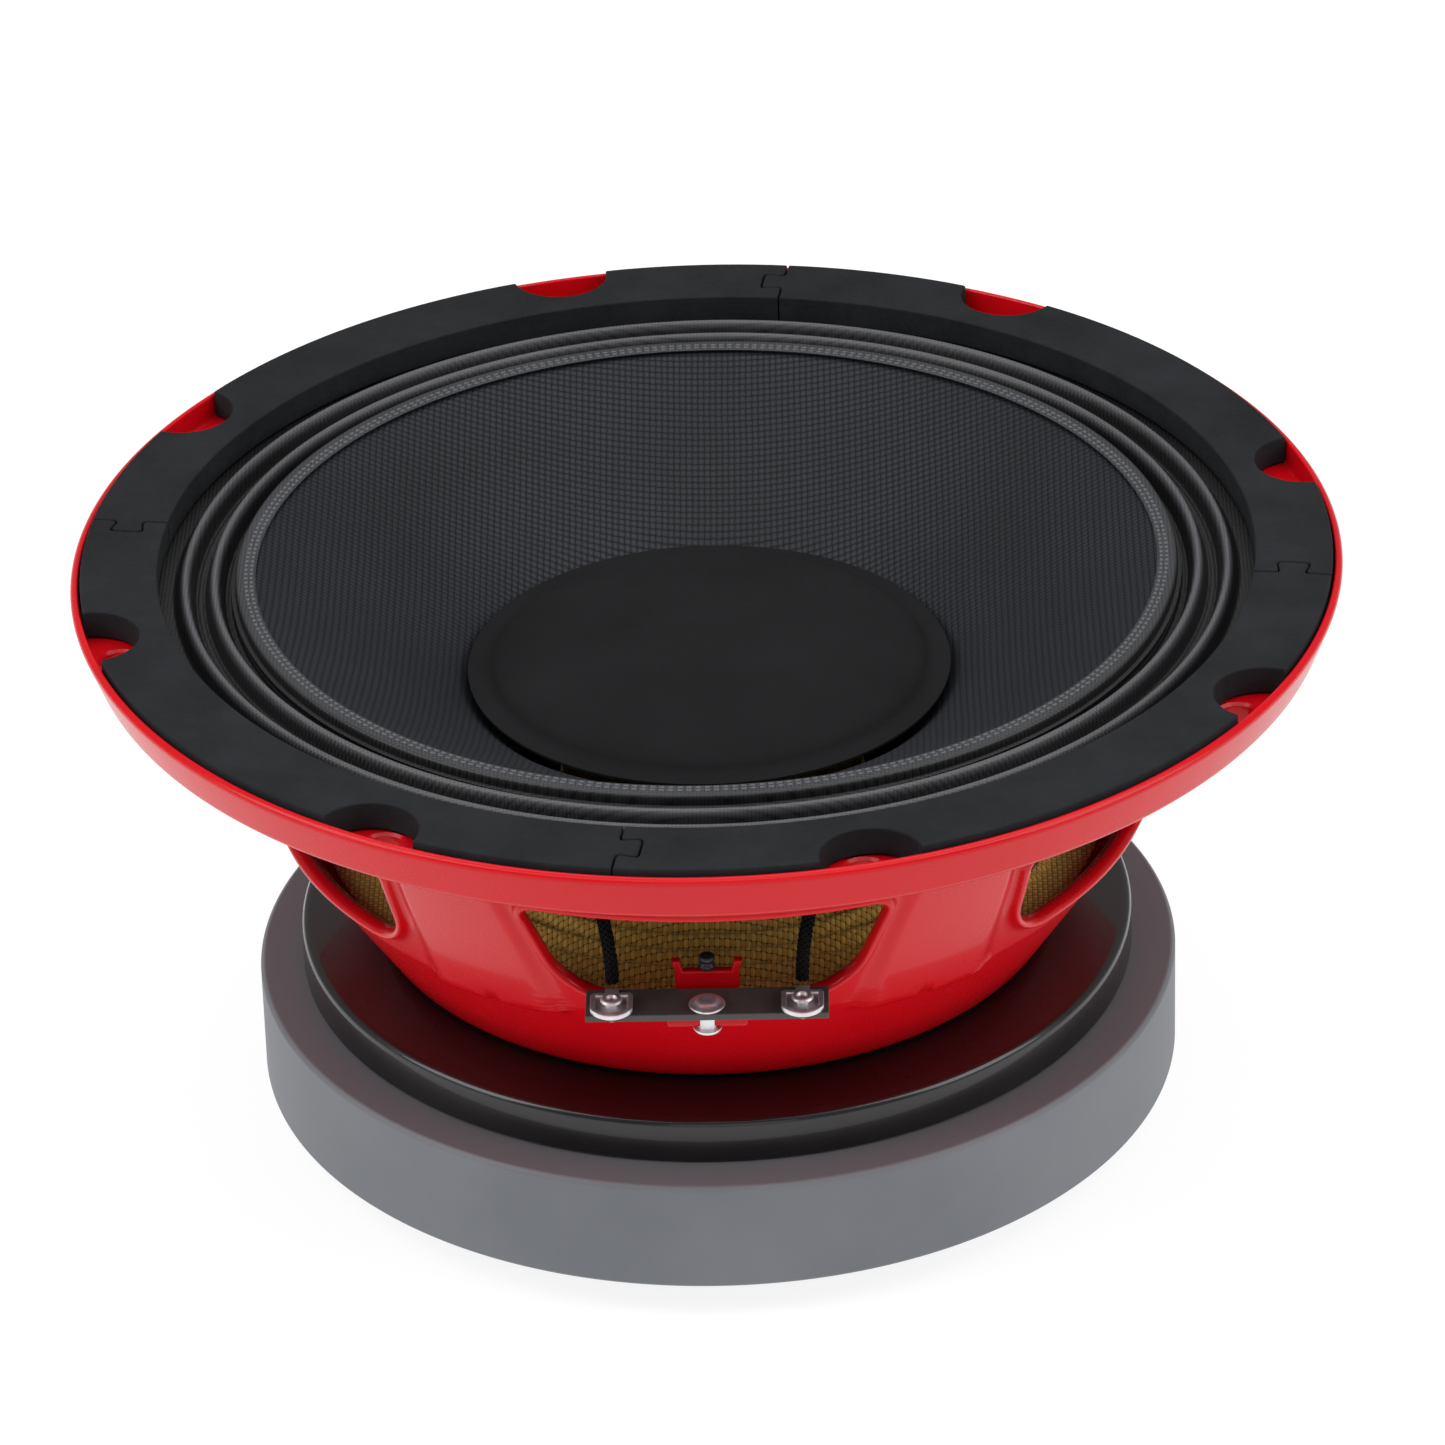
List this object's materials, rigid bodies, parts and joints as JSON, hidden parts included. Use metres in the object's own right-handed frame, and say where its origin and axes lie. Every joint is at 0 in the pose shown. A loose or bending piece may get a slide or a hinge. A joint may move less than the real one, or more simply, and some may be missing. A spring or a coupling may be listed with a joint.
{
  "type": "car subwoofer loudspeaker driver",
  "caption": "Round car subwoofer driver with a red conical basket, accordion-edged black cone, wide ferrite ring magnet and side terminals.",
  "frame": {"origin": "centre of the yoke's flat back face, on which the speaker stands", "axes": "+Z along the cone's axis towards the listener, -Y towards the terminals"},
  "size_m": [0.2112, 0.2112, 0.102],
  "materials": {
    "zinc_steel": "satin",
    "ferrite": "matte",
    "black_plate": "gloss",
    "red_paint": "gloss",
    "gasket_fibre": "matte",
    "terminal_fibre": "matte",
    "tinned_brass": "gloss",
    "black_nylon": "satin",
    "screw_zinc": "satin",
    "lead_braid": "matte",
    "surround_cloth": "matte",
    "spider_cloth": "matte",
    "cone_paper": "matte",
    "cap_cloth": "matte",
    "former_paper": "matte",
    "coil_wire": "satin",
    "eyelet_metal": "satin"
  },
  "bodies": {
    "frame": {"t_yoke": "zinc_steel", "magnet": "ferrite", "top_plate": "black_plate", "basket": "red_paint", "gasket_segment_1": "gasket_fibre", "gasket_segment_2": "gasket_fibre", "gasket_segment_3": "gasket_fibre", "gasket_segment_4": "gasket_fibre", "terminal_board": "terminal_fibre", "terminal_left": "tinned_brass", "terminal_right": "tinned_brass", "terminal_rivet": "tinned_brass", "lug_rivet_left": "tinned_brass", "lug_rivet_right": "tinned_brass", "lead_peg": "black_nylon", "frame_screw_1": "screw_zinc", "frame_screw_2": "screw_zinc", "frame_screw_3": "screw_zinc", "frame_screw_4": "screw_zinc", "tinsel_lead_left": "lead_braid", "tinsel_lead_right": "lead_braid", "surround": "surround_cloth", "spider": "spider_cloth"},
    "diaphragm": {"cone": "cone_paper", "dust_cap": "cap_cloth", "voice_coil_former": "former_paper", "voice_coil": "coil_wire", "lead_eyelet_left": "eyelet_metal", "lead_eyelet_right": "eyelet_metal"}
  },
  "joints": [
    {"name": "cone_excursion", "type": "slide", "parent": "frame", "child": "diaphragm", "axis": [0, 0, 1], "range_m": [-0.006, 0.006], "stiffness_N_per_m": 2500, "deforming": ["surround", "spider", "tinsel_lead_left", "tinsel_lead_right"]}
  ]
}
